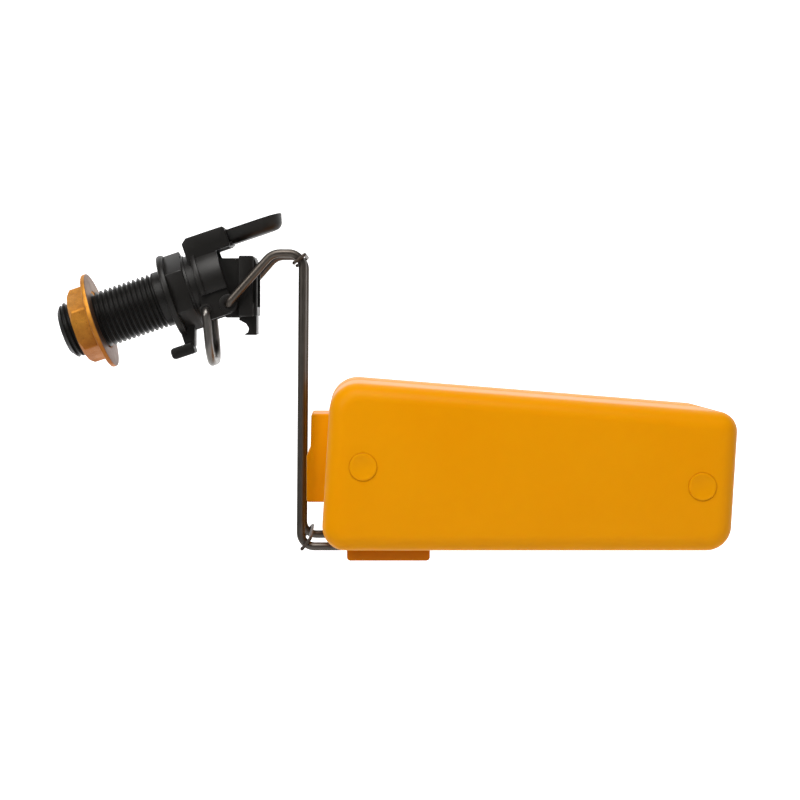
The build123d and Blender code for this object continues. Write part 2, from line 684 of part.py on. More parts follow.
def make_float_shell(side):
    """One half of the float: side is 1 for the near half and -1 for the far half."""
    shell = float_solid(0, FLOAT_EDGE_ROUNDING) - float_solid(FLOAT_WALL, FLOAT_EDGE_ROUNDING - FLOAT_WALL)
    tab = polygon(
        (FLOAT_HEAD_TOP_P, FLOAT_TAB_TOP_Q),
        (FLOAT_TAB_TOP_P, FLOAT_TAB_TOP_Q),
        (FLOAT_TAB_TOP_P - FLOAT_TAB_DRAFT, FLOAT_TAB_STEP_Q + FLOAT_TAB_SLOPE),
        (FLOAT_TAB_FOOT_P, FLOAT_TAB_STEP_Q - FLOAT_TAB_SLOPE),
        (FLOAT_TAB_FOOT_P, FLOAT_TAB_FOOT_Q),
        (FLOAT_HEAD_TOP_P, FLOAT_TAB_FOOT_Q),
    )
    tab = slab(ARM, tab, FLOAT_TAB_HALF_WIDTH)
    shell += tab - float_solid(FLOAT_WALL / 2, FLOAT_EDGE_ROUNDING - FLOAT_WALL / 2)
    half = ARM * Pos(0, 0, side * CUTTER / 2) * Box(CUTTER, CUTTER, CUTTER)
    shell = (shell & half) - arm_wire(WIRE_RADIUS + SEATED_CLEARANCE)
    for p, q in plug_places():
        inner, outer = side * (FLOAT_HALF_WIDTH - FLOAT_WALL - JOIN), side * (FLOAT_HALF_WIDTH + JOIN)
        shell -= disc(ARM, p, q, PLUG_DIAMETER / 2 + SEATED_CLEARANCE, inner, outer)
    return shell


def plug_places():
    return (PLUG_HEAD_P, PLUG_HEAD_Q), (PLUG_TAIL_P, PLUG_TAIL_Q)


def make_plug(place, side):
    inner = FLOAT_HALF_WIDTH - FLOAT_WALL
    outer = FLOAT_HALF_WIDTH + PLUG_PROUD
    return disc(ARM, *place, PLUG_DIAMETER / 2, side * inner, side * outer)


def make_float_clip():
    top_q = FLOAT_FLOOR_Q - SEATED_CLEARANCE
    foot_q = top_q - CLIP_DEPTH
    plate = polygon(
        (CLIP_FROM_P, top_q),
        (CLIP_FROM_P, foot_q + CLIP_BEVEL),
        (CLIP_FROM_P + CLIP_BEVEL, foot_q),
        (CLIP_TO_P - CLIP_BEVEL, foot_q),
        (CLIP_TO_P, foot_q + CLIP_BEVEL),
        (CLIP_TO_P, top_q),
    )
    return slab(ARM, plate, CLIP_HALF_WIDTH) - arm_wire(WIRE_RADIUS + SEATED_CLEARANCE)


def main():
    head_plug, tail_plug = plug_places()
    pieces = {
        "valve_body": make_valve_body(),
        "seat_nozzle": make_seat_nozzle(),
        "nozzle_o_ring": make_nozzle_o_ring(),
        "arm_bracket": make_arm_bracket(),
        "thumb_tab": make_thumb_tab(),
        "backnut": make_backnut(),
        "retaining_bail": make_retaining_bail(),
        "rocker": make_rocker(),
        "pad_carrier": make_pad_carrier(),
        "valve_pad": make_valve_pad(),
        "arm_frame": arm_wire(WIRE_RADIUS),
        "upper_tie": make_upper_tie(),
        "lower_tie": make_lower_tie(),
        "float_shell_near": make_float_shell(1),
        "float_shell_far": make_float_shell(-1),
        "plug_front_near": make_plug(head_plug, 1),
        "plug_rear_near": make_plug(tail_plug, 1),
        "plug_front_far": make_plug(head_plug, -1),
        "plug_rear_far": make_plug(tail_plug, -1),
        "float_clip": make_float_clip(),
    }
    os.makedirs("parts", exist_ok=True)
    for name, piece in pieces.items():
        export_step(piece, f"parts/{name}.step")


main()
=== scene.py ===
"""The visual model of a float valve, as an add-on: one operator for each piece, and one for the stage.

It is run as a script. It loads the fixed frame, models each visible piece over it in metres, and
gives every piece that keeps its frame shape a finish of its own.
"""

import json
import math

import bmesh
import bpy
from bpy.props import FloatProperty, FloatVectorProperty, IntProperty, PointerProperty
from mathutils import Matrix, Vector


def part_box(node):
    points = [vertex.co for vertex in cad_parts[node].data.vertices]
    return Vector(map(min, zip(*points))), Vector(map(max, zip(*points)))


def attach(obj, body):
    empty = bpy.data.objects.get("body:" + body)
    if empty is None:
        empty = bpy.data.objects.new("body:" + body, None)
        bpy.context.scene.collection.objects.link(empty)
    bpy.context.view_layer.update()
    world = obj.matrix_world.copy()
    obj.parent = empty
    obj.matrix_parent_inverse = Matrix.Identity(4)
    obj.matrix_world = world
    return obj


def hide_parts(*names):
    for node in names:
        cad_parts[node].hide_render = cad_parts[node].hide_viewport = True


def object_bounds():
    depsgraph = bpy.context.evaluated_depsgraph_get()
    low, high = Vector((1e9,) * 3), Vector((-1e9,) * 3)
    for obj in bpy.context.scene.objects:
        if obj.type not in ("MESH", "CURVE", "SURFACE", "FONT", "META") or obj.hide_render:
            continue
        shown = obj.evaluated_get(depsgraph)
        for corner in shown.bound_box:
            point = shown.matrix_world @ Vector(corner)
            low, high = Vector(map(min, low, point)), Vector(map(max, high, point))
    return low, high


bl_info = {
    "name": "Float Valve",
    "version": (1, 0, 0),
    "blender": (4, 5, 0),
    "location": "View3D > Sidebar > Float Valve",
    "description": "Models a trough float valve piece by piece",
    "category": "Object",
}

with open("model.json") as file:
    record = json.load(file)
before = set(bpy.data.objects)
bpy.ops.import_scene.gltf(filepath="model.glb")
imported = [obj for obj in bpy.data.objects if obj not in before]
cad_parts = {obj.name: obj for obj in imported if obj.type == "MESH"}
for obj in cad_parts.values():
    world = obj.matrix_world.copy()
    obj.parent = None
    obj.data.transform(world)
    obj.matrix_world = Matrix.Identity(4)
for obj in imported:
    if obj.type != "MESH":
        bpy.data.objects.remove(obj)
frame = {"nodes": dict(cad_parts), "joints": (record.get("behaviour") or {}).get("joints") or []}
frame_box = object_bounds()

MM = 0.001
JOINTS = {joint["name"]: joint for joint in frame["joints"]}
PIVOT = Vector(JOINTS["arm_swing"]["pos_m"])
BAIL_PIVOT = Vector(JOINTS["bail_swing"]["pos_m"])
DROOP = math.radians(JOINTS["arm_swing"]["range_deg"][1])
# The arm's pieces are modelled level, from the pivot, and this turns them to their rest
ARM = Matrix.Translation(PIVOT) @ Matrix.Rotation(DROOP, 4, "Y")
ROUND_STEPS = 96
CORNER_STEPS = 8
SMOOTH_ANGLE = math.radians(32)
# Half the angle between the flanks of a pipe thread
THREAD_FLANK = math.radians(27.5)
# Vertices nearer than this are one vertex
WELD = 0.001 * MM

# The outlines below are in millimetres, and so are these:
# the radius of a hole for a wire, how far a cutter reaches to each side, and the nut's width across flats
WIRE_HOLE = 1.56
THROUGH = 20
NUT_ACROSS = 25
# How far the nut is turned on the shank at rest, in degrees
NUT_TURN = 8
# Centres of the float's plugs, (x, z) from the pivot with the arm level
FLOAT_PLUGS = {"front": (48.9, -57.6), "rear": (168.2, -64.5)}

# The camera is level with the float's underside, so its right and up are turned by the arm's droop
RIGHT = Matrix.Rotation(DROOP, 3, "Y") @ Vector((1, 0, 0))
UP = Matrix.Rotation(DROOP, 3, "Y") @ Vector((0, 0, 1))


def length(name, default, description):
    return FloatProperty(
        name=name, default=default, min=0.0, unit="LENGTH", subtype="DISTANCE", precision=5,
        description=description,
    )


def colour(name, default, description):
    return FloatVectorProperty(
        name=name, default=default, size=3, min=0.0, max=1.0, subtype="COLOR", description=description
    )


class ShankSizes(bpy.types.PropertyGroup):
    """The inlet shank's thread, a half-inch pipe thread."""

    radius: length("Thread radius", 10.4775 * MM, "Radius over the thread's crests")
    depth: length("Thread depth", 1.162 * MM, "From crest to root")
    pitch: length("Thread pitch", 1.8143 * MM, "From one ridge to the next")
    neck: length("Neck", 3.2 * MM, "Smooth stretch between the thread and the flange")
    bore: length("Inlet bore radius", 6.25 * MM, "Radius of the water's way in")
    steps: IntProperty(
        name="Steps per turn", default=72, min=12, description="Faces round one turn of the thread"
    )


class BodySizes(bpy.types.PropertyGroup):
    """The moulded body behind the tank wall."""

    flange_radius: length("Flange radius", 15.7 * MM, "Round flange that seats on the wall")
    flange_thickness: length("Flange thickness", 2.4 * MM, "Thickness of the flange")
    hexagon: length("Hexagon", 26 * MM, "Across the hexagon's flats")
    hexagon_length: length("Hexagon length", 6.3 * MM, "Along the shank")
    barrel_radius: length("Barrel radius", 12.4 * MM, "Radius of the barrel that the bracket sits on")
    edge: length("Moulded edge", 0.35 * MM, "Rounding of the moulded edges")


class FloatSizes(bpy.types.PropertyGroup):
    """The hollow float."""

    edge: length("Side rounding", 6.5 * MM, "Rounding between a side face and the rim")
    seam: length("Seam", 0.35 * MM, "Depth of the groove along the weld")
    plug_radius: length("Plug radius", 4.9 * MM, "Radius of the round plugs")


class Finishes(bpy.types.PropertyGroup):
    """The colours of the object's materials."""

    black: colour("Black plastic", (0.0080, 0.0073, 0.0066), "Glass-filled moulding")
    rubber: colour("Rubber", (0.012, 0.012, 0.012), "Seals and pad")
    brass: colour("Cast brass", (0.72, 0.315, 0.045), "The backnut")
    faced: colour("Faced brass", (0.10, 0.070, 0.064), "The backnut's clamping face")
    jet: colour("Machined brass", (0.78, 0.56, 0.24), "The seat nozzle")
    steel: colour("Stainless wire", (0.115, 0.104, 0.094), "The arm")
    # Lighter than the arm's steel: painted light on the bail, the wire nearest the front
    bright: colour("Bright wire", (0.215, 0.21, 0.205), "The bail")
    tie: colour("Tie wire", (0.085, 0.070, 0.060), "The thin cross wires")
    orange: colour("Orange", (0.84, 0.312, 0.0), "The float")
    # Darker orange: painted shade, for the clip sits in the float's shadow
    saddle: colour("Dark orange", (0.60, 0.175, 0.004), "The clip under the float")


# ---- shader nodes ----


class Signal:
    """A shader socket. Arithmetic on it adds Math nodes."""

    def __init__(self, nodes, socket):
        self.nodes = nodes
        self.socket = socket

    def _math(self, operation, first, second):
        return self.nodes.add("ShaderNodeMath", {"operation": operation}, {0: first, 1: second})

    def __add__(self, other):
        return self._math("ADD", self, other)

    def __sub__(self, other):
        return self._math("SUBTRACT", self, other)

    def __rsub__(self, other):
        return self._math("SUBTRACT", other, self)

    def __mul__(self, other):
        return self._math("MULTIPLY", self, other)

    __radd__ = __add__


class Nodes:
    """The nodes of one new material."""

    def __init__(self, name):
        self.material = bpy.data.materials.new(name)
        self.material.use_nodes = True
        self.tree = self.material.node_tree
        self.shader = self.tree.nodes["Principled BSDF"]

    def feed(self, socket, value):
        if isinstance(value, Signal):
            self.tree.links.new(value.socket, socket)
        elif isinstance(value, (tuple, list)) and len(value) == 3 and socket.type == "RGBA":
            socket.default_value = (*value, 1.0)
        else:
            socket.default_value = value

    def add(self, kind, settings=None, inputs=None, output=0):
        """A node of a type, with its settings made first and then its sockets."""
        node = self.tree.nodes.new(kind)
        for name, value in (settings or {}).items():
            if name == "stops":
                while len(node.color_ramp.elements) < len(value):
                    node.color_ramp.elements.new(1.0)
                for element, (position, level) in zip(node.color_ramp.elements, value):
                    element.position = position
                    element.color = (level, level, level, 1.0)
            else:
                setattr(node, name, value)
        for name, value in (inputs or {}).items():
            self.feed(node.inputs[name], value)
        return Signal(self, node.outputs[output])

    def place(self, scale=(1.0, 1.0, 1.0), turn=(0.0, 0.0, 0.0)):
        """Object coordinates, turned and stretched."""
        where = self.add("ShaderNodeTexCoord", output="Object")
        return self.add("ShaderNodeMapping", inputs={"Vector": where, "Scale": scale, "Rotation": turn})

    def noise(self, scale, detail=2.0, roughness=0.5, where=None):
        where = where or self.place()
        inputs = {"Vector": where, "Scale": scale, "Detail": detail, "Roughness": roughness}
        return self.add("ShaderNodeTexNoise", inputs=inputs)

    def ramp(self, value, *stops):
        return self.add("ShaderNodeValToRGB", {"stops": stops}, {"Fac": value})

    def blend(self, factor, first, second):
        settings = {"data_type": "RGBA", "clamp_factor": True}
        return self.add("ShaderNodeMix", settings, {0: factor, 6: first, 7: second}, output=2)

    def fade(self, axis, start, end):
        """Rises from 0 to 1 between two places along an axis of the object."""
        where = self.add("ShaderNodeTexCoord", output="Object")
        along = self.add("ShaderNodeSeparateXYZ", inputs={"Vector": where}, output=axis)
        return self.add("ShaderNodeMapRange", inputs={"Value": along, "From Min": start, "From Max": end})

    def bump(self, height, distance, strength):
        inputs = {"Height": height, "Distance": distance, "Strength": strength}
        return self.add("ShaderNodeBump", inputs=inputs)

    def surface(self, **inputs):
        """Feeds the shader: base_color is the socket Base Color, and so on."""
        for name, value in inputs.items():
            self.feed(self.shader.inputs[name.replace("_", " ").title().replace("Ior", "IOR")], value)
        return self.material


def shade(rgb, amount):
    """A colour made lighter or darker by a factor."""
    return tuple(min(1.0, channel * amount) for channel in rgb)


def moulded_plastic(name, rgb, roughness):
    """A satin moulding: a fine spark-eroded grain, flow marks and faint handling scuffs."""
    nodes = Nodes(name)
    flow = nodes.noise(90.0, 3.0, 0.6, nodes.place(scale=(1.0, 1.0, 2.5)))
    grit = nodes.noise(3200.0, 2.0, 0.6)
    scuffs = nodes.noise(420.0, 6.0, 0.75, nodes.place(scale=(1.0, 6.0, 1.6)))
    scuffs = nodes.ramp(scuffs, (0.60, 0.0), (0.74, 1.0))
    tone = nodes.blend(flow, shade(rgb, 0.75), shade(rgb, 1.3))
    tone = nodes.blend(scuffs * 0.25, tone, tuple(channel * 0.7 + 0.03 for channel in rgb))
    height = grit * 0.7 + flow * 0.5 - scuffs * 0.25
    return nodes.surface(
        base_color=tone,
        roughness=roughness + flow * 0.12 + grit * 0.06 - 0.06,
        normal=nodes.bump(height, 0.02 * MM, 0.8),
        specular_ior_level=0.30,
    )


def soft_rubber(name, rgb):
    """Matte rubber with a bloom of paler dust."""
    nodes = Nodes(name)
    bloom = nodes.noise(500.0, 4.0, 0.7)
    return nodes.surface(
        base_color=nodes.blend(bloom, rgb, shade(rgb, 2.2)),
        roughness=0.72 + bloom * 0.15,
        normal=nodes.bump(nodes.noise(4000.0), 0.015 * MM, 0.6),
    )


def cast_brass(name, rgb, faced, face_x):
    """Sand-cast brass: a pitted skin, a tarnish, and painted shade that darkens it towards the underside. The
    clamping face is faced off.
    """
    nodes = Nodes(name)
    skin = nodes.noise(1100.0, 5.0, 0.70)
    pits = nodes.ramp(nodes.noise(2300.0, 3.0, 0.7), (0.30, 1.0), (0.43, 0.0))
    tarnish = nodes.ramp(nodes.noise(150.0, 4.0, 0.62), (0.36, 0.0), (0.68, 1.0))
    machined = nodes.fade("X", face_x - 0.35 * MM, face_x - 0.1 * MM)
    # Painted shade: a mask that rises towards the nut's underside
    under = nodes.fade("Z", 1.0 * MM, -9.0 * MM)
    rings = nodes.add(
        "ShaderNodeTexWave",
        {"wave_type": "RINGS", "rings_direction": "X"},
        {"Vector": nodes.place(), "Scale": 900.0, "Distortion": 1.5, "Detail": 2.0},
        output="Fac",
    )
    red, green, blue = rgb
    tone = nodes.blend(tarnish * 0.85, rgb, (red * 0.52, green * 0.42, blue * 0.50))
    tone = nodes.blend(skin * 0.5, tone, (min(1.0, red * 1.30), green * 1.40, blue * 1.5))
    # Painted shade: the lower facets are darkened towards the underside
    tone = nodes.blend(under * 0.75, tone, (red * 0.45, green * 0.30, blue * 0.40))
    tone = nodes.blend(pits * 0.6, tone, (red * 0.35, green * 0.25, blue * 0.2))
    tone = nodes.blend(machined * 0.85, tone, nodes.blend(tarnish * 0.5, faced, shade(faced, 0.7)))
    cast = 1 - machined
    height = cast * (skin * 0.7 - pits * 0.6 + tarnish * 0.2) + machined * rings * 0.12
    return nodes.surface(
        base_color=tone,
        metallic=0.92,
        roughness=0.40 + tarnish * 0.14 + skin * 0.10 - machined * 0.05,
        normal=nodes.bump(height, 0.12 * MM, 0.9),
    )


def machined_brass(name, rgb):
    """Turned brass with fine rings about the shank's axis."""
    nodes = Nodes(name)
    rings = nodes.noise(900.0, 2.0, 0.5, nodes.place(scale=(4.0, 0.2, 0.2)))
    return nodes.surface(
        base_color=nodes.blend(rings, shade(rgb, 0.85), rgb),
        metallic=1.0,
        roughness=0.22 + rings * 0.15,
        normal=nodes.bump(rings, 0.01 * MM, 0.6),
    )


def drawn_wire(name, rgb, roughness):
    """Drawn stainless wire: die lines along its long legs, a dull oxide film and small bright rubs."""
    nodes = Nodes(name)
    along = nodes.place(scale=(9.0, 9.0, 0.35), turn=(0.0, -DROOP, 0.0))
    lines = nodes.noise(420.0, 3.0, 0.6, along)
    film = nodes.noise(70.0, 4.0, 0.6)
    rubs = nodes.ramp(nodes.noise(800.0, 5.0, 0.7), (0.64, 0.0), (0.76, 1.0))
    tone = nodes.blend(film, (rgb[0] * 0.72, rgb[1] * 0.66, rgb[2] * 0.60), shade(rgb, 1.22))
    tone = nodes.blend(rubs * 0.6, tone, shade(rgb, 1.9))
    return nodes.surface(
        base_color=tone,
        metallic=1.0,
        roughness=roughness + film * 0.14 + lines * 0.10 - rubs * 0.10,
        normal=nodes.bump(lines * 0.8 + rubs * 0.2, 0.012 * MM, 0.7),
    )


def float_plastic(name, rgb, roughness):
    """Moulded polyethylene: waxy, with a little light inside it, sink marks and fine specks."""
    nodes = Nodes(name)
    broad = nodes.noise(22.0, 3.0, 0.5)
    skin = nodes.noise(650.0, 2.0, 0.5)
    specks = nodes.ramp(nodes.noise(1500.0, 2.0, 0.6), (0.70, 0.0), (0.78, 1.0))
    tone = nodes.blend(broad, (rgb[0] * 0.95, rgb[1] * 0.93, rgb[2]), (rgb[0], rgb[1] * 1.08, rgb[2] + 0.002))
    tone = nodes.blend(specks * 0.10, tone, (rgb[0] * 0.8, rgb[1] * 0.7, 0.0))
    return nodes.surface(
        base_color=tone,
        roughness=roughness + broad * 0.08 + skin * 0.05 - 0.05,
        normal=nodes.bump(skin * 0.4 + broad * 1.2, 0.03 * MM, 0.6),
        subsurface_weight=0.10,
        subsurface_scale=0.004,
        specular_ior_level=0.05,
    )


def pale_stage(name):
    """White board. It glows behind the object, so that it stays white where it curves up."""
    nodes = Nodes(name)
    glow = nodes.fade("Y", 0.14, 0.40)
    return nodes.surface(
        base_color=nodes.blend(nodes.noise(1.5, 1.0), (0.86, 0.86, 0.86), (0.90, 0.90, 0.90)),
        roughness=0.9,
        emission_color=nodes.blend(glow, (0.0, 0.0, 0.0), (1.0, 1.0, 1.0)),
        emission_strength=0.95,
    )


# ---- modelling ----


def solid(name, bm):
    """A working object from a bmesh, with its doubles merged and its faces outwards."""
    bmesh.ops.remove_doubles(bm, verts=bm.verts, dist=WELD)
    bmesh.ops.recalc_face_normals(bm, faces=bm.faces)
    mesh = bpy.data.meshes.new(name)
    bm.to_mesh(mesh)
    bm.free()
    made = bpy.data.objects.new(name, mesh)
    bpy.context.scene.collection.objects.link(made)
    return made


def bevel(bm, geom, width, segments, affect="EDGES", clamp=True):
    """Rounds edges or corners, with the settings that all pieces share."""
    bmesh.ops.bevel(
        bm, geom=geom, offset=width, offset_type="OFFSET", segments=segments, profile=0.5,
        affect=affect, clamp_overlap=clamp, material=-1,
    )


def draw_out(bm, vector):
    """Makes a flat face solid: a copy of it moves by a vector. Returns the copy's vertices."""
    raised = bmesh.ops.extrude_face_region(bm, geom=bm.faces[:])["geom"]
    moved = [item for item in raised if isinstance(item, bmesh.types.BMVert)]
    bmesh.ops.translate(bm, verts=moved, vec=vector)
    bmesh.ops.recalc_face_normals(bm, faces=bm.faces)
    return moved


def soften(bm, width, segments=2, angle=30.0):
    """Rounds every edge that is sharper than an angle."""
    bm.normal_update()
    limit = math.radians(angle)
    sharp = [edge for edge in bm.edges if len(edge.link_faces) == 2 and edge.calc_face_angle() > limit]
    bevel(bm, sharp, width, segments)


def corner_rounds(bm, verts, radii, segments):
    """Turns corners of a flat outline into arcs."""
    for vert, radius in zip(verts, radii):
        if radius:
            first, second = [edge.other_vert(vert).co - vert.co for edge in vert.link_edges]
            reach = radius * MM / math.tan(first.angle(second) / 2)
            bevel(bm, [vert], reach, segments, affect="VERTICES", clamp=False)


def plate(name, outline, near, far, edge=0.3, segments=2):
    """A plate from points (x, z) or (x, z, corner radius), between two distances along Y, in millimetres."""
    bm = bmesh.new()
    verts = [bm.verts.new((point[0] * MM, near * MM, point[1] * MM)) for point in outline]
    bm.faces.new(verts)
    corner_rounds(bm, verts, [point[2] if len(point) == 3 else 0 for point in outline], CORNER_STEPS)
    draw_out(bm, (0, (far - near) * MM, 0))
    if edge:
        soften(bm, edge * MM, segments)
    return solid(name, bm)


def turned(name, profile, edge=0.0):
    """A solid turned about X, from points (x, radius) in millimetres that start and end on the axis."""
    bm = bmesh.new()
    verts = [bm.verts.new((x * MM, 0, radius * MM)) for x, radius in profile]
    edges = [bm.edges.new(pair) for pair in zip(verts, verts[1:])]
    bmesh.ops.spin(
        bm, geom=verts + edges, cent=(0, 0, 0), axis=(1, 0, 0), angle=math.tau, steps=ROUND_STEPS,
        use_merge=True,
    )
    bmesh.ops.remove_doubles(bm, verts=bm.verts, dist=WELD)
    bmesh.ops.recalc_face_normals(bm, faces=bm.faces)
    if edge:
        soften(bm, edge * MM)
    return solid(name, bm)


def pin(name, x, z, radius, near, far, steps=48, edge=0.0):
    """A round pin along Y, in millimetres."""
    bm = bmesh.new()
    turn = Matrix.Translation((x * MM, near * MM, z * MM)) @ Matrix.Rotation(math.pi / 2, 4, "X")
    bmesh.ops.create_circle(bm, cap_ends=True, segments=steps, radius=radius * MM, matrix=turn)
    draw_out(bm, (0, (far - near) * MM, 0))
    if edge:
        soften(bm, edge * MM)
    return solid(name, bm)


def hexagon(name, across, from_x, to_x, turn, edge):
    """A hexagon along X, in millimetres, with flats at its top and bottom before it is turned."""
    bm = bmesh.new()
    place = Matrix.Translation((from_x * MM, 0, 0)) @ Matrix.Rotation(math.radians(turn), 4, "X")
    place = place @ Matrix.Rotation(math.pi / 2, 4, "Y") @ Matrix.Rotation(math.pi / 2, 4, "Z")
    bmesh.ops.create_circle(bm, cap_ends=True, segments=6, radius=across / math.sqrt(3) * MM, matrix=place)
    draw_out(bm, ((to_x - from_x) * MM, 0, 0))
    soften(bm, edge * MM)
    return solid(name, bm)


def helix(name, from_x, to_x, crest, root, pitch, steps):
    """A threaded rod about X, in millimetres: one ridge's profile spun and stepped along, then trimmed."""
    bm = bmesh.new()
    flank = abs(crest - root) * math.tan(THREAD_FLANK)
    flat = pitch / 2 - flank
    start = from_x - 1.5 * pitch
    ridge = (
        (0, root),
        (flat / 2, root),
        (flat / 2 + flank, crest),
        (1.5 * flat + flank, crest),
        (1.5 * flat + 2 * flank, root),
        (pitch, root),
    )
    verts = [bm.verts.new(((start + x) * MM, 0, radius * MM)) for x, radius in ridge]
    edges = [bm.edges.new(pair) for pair in zip(verts, verts[1:])]
    turns = math.ceil((to_x - from_x) / pitch) + 3
    bmesh.ops.spin(
        bm, geom=verts + edges, cent=(0, 0, 0), axis=(1, 0, 0), dvec=(pitch * MM / steps, 0, 0),
        angle=math.tau * turns, steps=steps * turns, use_merge=False,
    )
    bmesh.ops.remove_doubles(bm, verts=bm.verts, dist=2 * WELD)
    for x, side in ((from_x, -1), (to_x, 1)):
        bmesh.ops.bisect_plane(
            bm, geom=bm.verts[:] + bm.edges[:] + bm.faces[:], dist=WELD / 10, plane_co=(x * MM, 0, 0),
            plane_no=(side, 0, 0), clear_outer=True,
        )
    bmesh.ops.holes_fill(bm, edges=[edge for edge in bm.edges if edge.is_boundary], sides=0)
    return solid(name, bm)


def combine(base, *tools, how="UNION"):
    """Joins, cuts or intersects closed solids, and removes the tools."""
    for tool in tools:
        step = base.modifiers.new("combine", "BOOLEAN")
        step.operation = how
        step.solver = "EXACT"
        step.object = tool
        graph = bpy.context.evaluated_depsgraph_get()
        mesh = bpy.data.meshes.new_from_object(base.evaluated_get(graph))
        base.modifiers.clear()
        worn, base.data = base.data, mesh
        bpy.data.meshes.remove(worn)
        bpy.data.objects.remove(tool)
    return base


def clean(bm):
    """Merges what a cut left almost touching, drops folded flaps and closes what that leaves open."""
    bmesh.ops.triangulate(bm, faces=bm.faces[:])
    bmesh.ops.dissolve_degenerate(bm, edges=bm.edges, dist=WELD)
    bmesh.ops.remove_doubles(bm, verts=bm.verts, dist=WELD)
    bmesh.ops.triangulate(bm, faces=bm.faces[:])
    bm.verts.index_update()
    by_corners = {}
    for face in bm.faces:
        by_corners.setdefault(frozenset(vert.index for vert in face.verts), []).append(face)
    flaps = [face for pair in by_corners.values() if len(pair) > 1 for face in pair]
    bmesh.ops.delete(bm, geom=flaps, context="FACES")
    bmesh.ops.holes_fill(bm, edges=[edge for edge in bm.edges if edge.is_boundary], sides=0)
    bmesh.ops.triangulate(bm, faces=[face for face in bm.faces if len(face.verts) > 3])


def finish_piece(piece, name, material, body, nodes, place=None):
    """Names a piece, gives it its finish and place, and ties it to the frame."""
    if place:
        piece.data.transform(place)
    bm = bmesh.new()
    bm.from_mesh(piece.data)
    clean(bm)
    bm.to_mesh(piece.data)
    bm.free()
    piece.name = name
    piece.data.name = name
    piece.data.materials.clear()
    piece.data.materials.append(material)
    piece.data.shade_smooth()
    piece.data.set_sharp_from_angle(angle=SMOOTH_ANGLE)
    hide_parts(*nodes)
    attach(piece, body)
    return piece


def finish_node(name, material):
    """A frame node that keeps its shape gets a finish."""
    node = frame["nodes"][name]
    for spot in node.material_slots:
        spot.material = material
    if not node.material_slots:
        node.data.materials.append(material)


def material(name, make, *values):
    """A material by name, made the first time it is asked for."""
    return bpy.data.materials.get(name) or make(name, *values)


def black_material(context):
    return material("black_moulding", moulded_plastic, tuple(context.scene.finishes.black), 0.37)


def orange_material(context):
    return material("float_polyethylene", float_plastic, tuple(context.scene.finishes.orange), 0.34)


# ---- operators, one for each piece or group of like pieces ----


